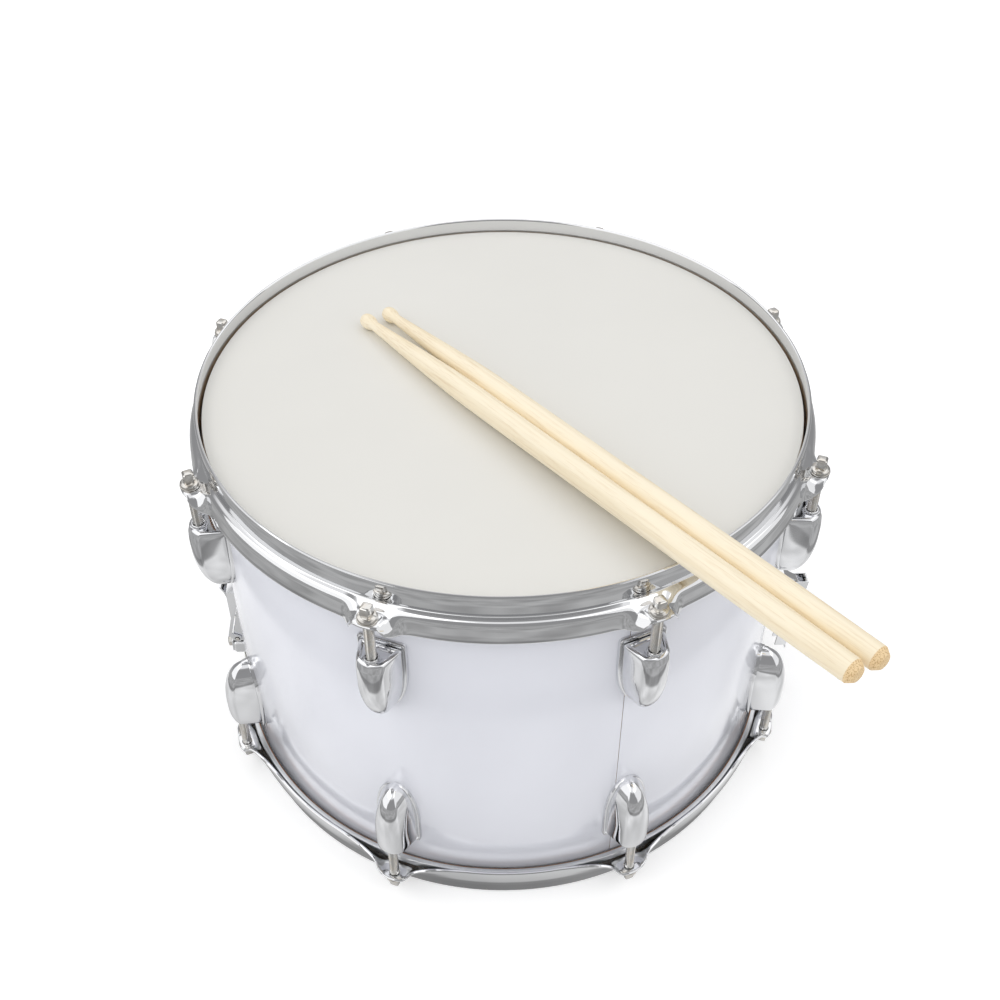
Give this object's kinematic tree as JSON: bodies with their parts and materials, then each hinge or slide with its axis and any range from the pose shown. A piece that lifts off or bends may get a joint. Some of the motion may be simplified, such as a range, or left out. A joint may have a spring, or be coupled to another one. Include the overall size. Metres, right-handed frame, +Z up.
{
  "type": "marching drum",
  "caption": "Marching drum with a white wrapped shell, flanged chrome hoops, teardrop lugs, key rods, throw-off snares and a pair of sticks on the coated head.",
  "frame": {"origin": "centre of the circle that the lower hoop's edge rests on", "axes": "+Z up along the drum's axis towards the batter head, -Y the front, -X the snare strainer"},
  "size_m": [0.4042, 0.4318, 0.2877],
  "materials": {
    "shell_ply": "sanded, clear sealed",
    "white_wrap": "high gloss",
    "hoop_chrome": "bright plated",
    "lug_chrome": "bright plated",
    "fitting_chrome": "bright plated",
    "rod_nickel": "nickel plated",
    "batter_film": "coated, fine grain",
    "snare_film": "clear, thin",
    "flesh_aluminium": "mill",
    "snare_steel": "drawn wire",
    "strap_plastic": "smooth",
    "stick_wood": "sanded, thin lacquer"
  },
  "bodies": {
    "drum": {"batter_lug_1": "lug_chrome", "batter_lug_2": "lug_chrome", "batter_lug_3": "lug_chrome", "batter_lug_4": "lug_chrome", "batter_lug_5": "lug_chrome", "batter_lug_6": "lug_chrome", "batter_lug_7": "lug_chrome", "batter_lug_8": "lug_chrome", "snare_side_lug_1": "lug_chrome", "snare_side_lug_2": "lug_chrome", "snare_side_lug_3": "lug_chrome", "snare_side_lug_4": "lug_chrome", "snare_side_lug_5": "lug_chrome", "snare_side_lug_6": "lug_chrome", "snare_side_lug_7": "lug_chrome", "snare_side_lug_8": "lug_chrome", "shell": "shell_ply", "shell_wrap": "white_wrap", "batter_hoop": "hoop_chrome", "snare_side_hoop": "hoop_chrome", "batter_head_film": "batter_film", "snare_side_head_film": "snare_film", "batter_flesh_hoop": "flesh_aluminium", "snare_side_flesh_hoop": "flesh_aluminium", "vent_grommet": "lug_chrome", "strainer_base": "fitting_chrome", "strainer_pin": "rod_nickel", "butt_base": "fitting_chrome", "butt_channel": "fitting_chrome", "butt_clamp_bar": "fitting_chrome", "butt_clamp_screw_front": "rod_nickel", "butt_clamp_screw_back": "rod_nickel"},
    "batter_tension_rod_1": {"batter_tension_rod_1": "rod_nickel"},
    "batter_tension_rod_2": {"batter_tension_rod_2": "rod_nickel"},
    "batter_tension_rod_3": {"batter_tension_rod_3": "rod_nickel"},
    "batter_tension_rod_4": {"batter_tension_rod_4": "rod_nickel"},
    "batter_tension_rod_5": {"batter_tension_rod_5": "rod_nickel"},
    "batter_tension_rod_6": {"batter_tension_rod_6": "rod_nickel"},
    "batter_tension_rod_7": {"batter_tension_rod_7": "rod_nickel"},
    "batter_tension_rod_8": {"batter_tension_rod_8": "rod_nickel"},
    "snare_side_tension_rod_1": {"snare_side_tension_rod_1": "rod_nickel"},
    "snare_side_tension_rod_2": {"snare_side_tension_rod_2": "rod_nickel"},
    "snare_side_tension_rod_3": {"snare_side_tension_rod_3": "rod_nickel"},
    "snare_side_tension_rod_4": {"snare_side_tension_rod_4": "rod_nickel"},
    "snare_side_tension_rod_5": {"snare_side_tension_rod_5": "rod_nickel"},
    "snare_side_tension_rod_6": {"snare_side_tension_rod_6": "rod_nickel"},
    "snare_side_tension_rod_7": {"snare_side_tension_rod_7": "rod_nickel"},
    "snare_side_tension_rod_8": {"snare_side_tension_rod_8": "rod_nickel"},
    "stick_1_body": {"stick_1": "stick_wood"},
    "stick_2_body": {"stick_2": "stick_wood"},
    "throw_off_lever": {"strainer_lever": "fitting_chrome"},
    "strap_clamp": {"strainer_block": "fitting_chrome", "strainer_clamp_plate": "fitting_chrome", "strainer_clamp_screw": "rod_nickel"},
    "snares": {"snare_wires": "snare_steel", "strainer_strap": "strap_plastic", "butt_strap": "strap_plastic"}
  },
  "joints": [
    {"name": "batter_tension_rod_1_turn", "type": "hinge", "parent": "drum", "child": "batter_tension_rod_1", "pos_m": [0.0729, -0.176, 0.24], "axis": [0, 0, 1], "continuous": true},
    {"name": "batter_tension_rod_2_turn", "type": "hinge", "parent": "drum", "child": "batter_tension_rod_2", "pos_m": [0.176, -0.0729, 0.24], "axis": [0, 0, 1], "continuous": true},
    {"name": "batter_tension_rod_3_turn", "type": "hinge", "parent": "drum", "child": "batter_tension_rod_3", "pos_m": [0.176, 0.0729, 0.24], "axis": [0, 0, 1], "continuous": true},
    {"name": "batter_tension_rod_4_turn", "type": "hinge", "parent": "drum", "child": "batter_tension_rod_4", "pos_m": [0.0729, 0.176, 0.24], "axis": [0, 0, 1], "continuous": true},
    {"name": "batter_tension_rod_5_turn", "type": "hinge", "parent": "drum", "child": "batter_tension_rod_5", "pos_m": [-0.0729, 0.176, 0.24], "axis": [0, 0, 1], "continuous": true},
    {"name": "batter_tension_rod_6_turn", "type": "hinge", "parent": "drum", "child": "batter_tension_rod_6", "pos_m": [-0.176, 0.0729, 0.24], "axis": [0, 0, 1], "continuous": true},
    {"name": "batter_tension_rod_7_turn", "type": "hinge", "parent": "drum", "child": "batter_tension_rod_7", "pos_m": [-0.176, -0.0729, 0.24], "axis": [0, 0, 1], "continuous": true},
    {"name": "batter_tension_rod_8_turn", "type": "hinge", "parent": "drum", "child": "batter_tension_rod_8", "pos_m": [-0.0729, -0.176, 0.24], "axis": [0, 0, 1], "continuous": true},
    {"name": "snare_side_tension_rod_1_turn", "type": "hinge", "parent": "drum", "child": "snare_side_tension_rod_1", "pos_m": [0.0729, -0.176, 0.029], "axis": [0, 0, -1], "continuous": true},
    {"name": "snare_side_tension_rod_2_turn", "type": "hinge", "parent": "drum", "child": "snare_side_tension_rod_2", "pos_m": [0.176, -0.0729, 0.029], "axis": [0, 0, -1], "continuous": true},
    {"name": "snare_side_tension_rod_3_turn", "type": "hinge", "parent": "drum", "child": "snare_side_tension_rod_3", "pos_m": [0.176, 0.0729, 0.029], "axis": [0, 0, -1], "continuous": true},
    {"name": "snare_side_tension_rod_4_turn", "type": "hinge", "parent": "drum", "child": "snare_side_tension_rod_4", "pos_m": [0.0729, 0.176, 0.029], "axis": [0, 0, -1], "continuous": true},
    {"name": "snare_side_tension_rod_5_turn", "type": "hinge", "parent": "drum", "child": "snare_side_tension_rod_5", "pos_m": [-0.0729, 0.176, 0.029], "axis": [0, 0, -1], "continuous": true},
    {"name": "snare_side_tension_rod_6_turn", "type": "hinge", "parent": "drum", "child": "snare_side_tension_rod_6", "pos_m": [-0.176, 0.0729, 0.029], "axis": [0, 0, -1], "continuous": true},
    {"name": "snare_side_tension_rod_7_turn", "type": "hinge", "parent": "drum", "child": "snare_side_tension_rod_7", "pos_m": [-0.176, -0.0729, 0.029], "axis": [0, 0, -1], "continuous": true},
    {"name": "snare_side_tension_rod_8_turn", "type": "hinge", "parent": "drum", "child": "snare_side_tension_rod_8", "pos_m": [-0.0729, -0.176, 0.029], "axis": [0, 0, -1], "continuous": true},
    {"name": "throw_off", "type": "hinge", "parent": "drum", "child": "throw_off_lever", "pos_m": [-0.1856, 0, 0.0516], "axis": [0, -1, 0], "range_deg": [0, 95]},
    {"name": "strap_clamp_slide", "type": "slide", "parent": "drum", "child": "strap_clamp", "axis": [0, 0, -1], "range_m": [0, 0.003]},
    {"name": "snare_drop", "type": "slide", "parent": "drum", "child": "snares", "axis": [0, 0, -1], "range_m": [0, 0.003]},
    {"name": "stick_1_lift", "type": "slide", "parent": "drum", "child": "stick_1_body", "axis": [0, 0, 1], "range_m": [0, 0.03]},
    {"name": "stick_2_lift", "type": "slide", "parent": "drum", "child": "stick_2_body", "axis": [0, 0, 1], "range_m": [0, 0.03]}
  ],
  "couplings": [
    {"joint": "throw_off", "follows": "snare_drop", "rad_per_m": 552.68},
    {"joint": "strap_clamp_slide", "follows": "snare_drop", "ratio": 1}
  ]
}
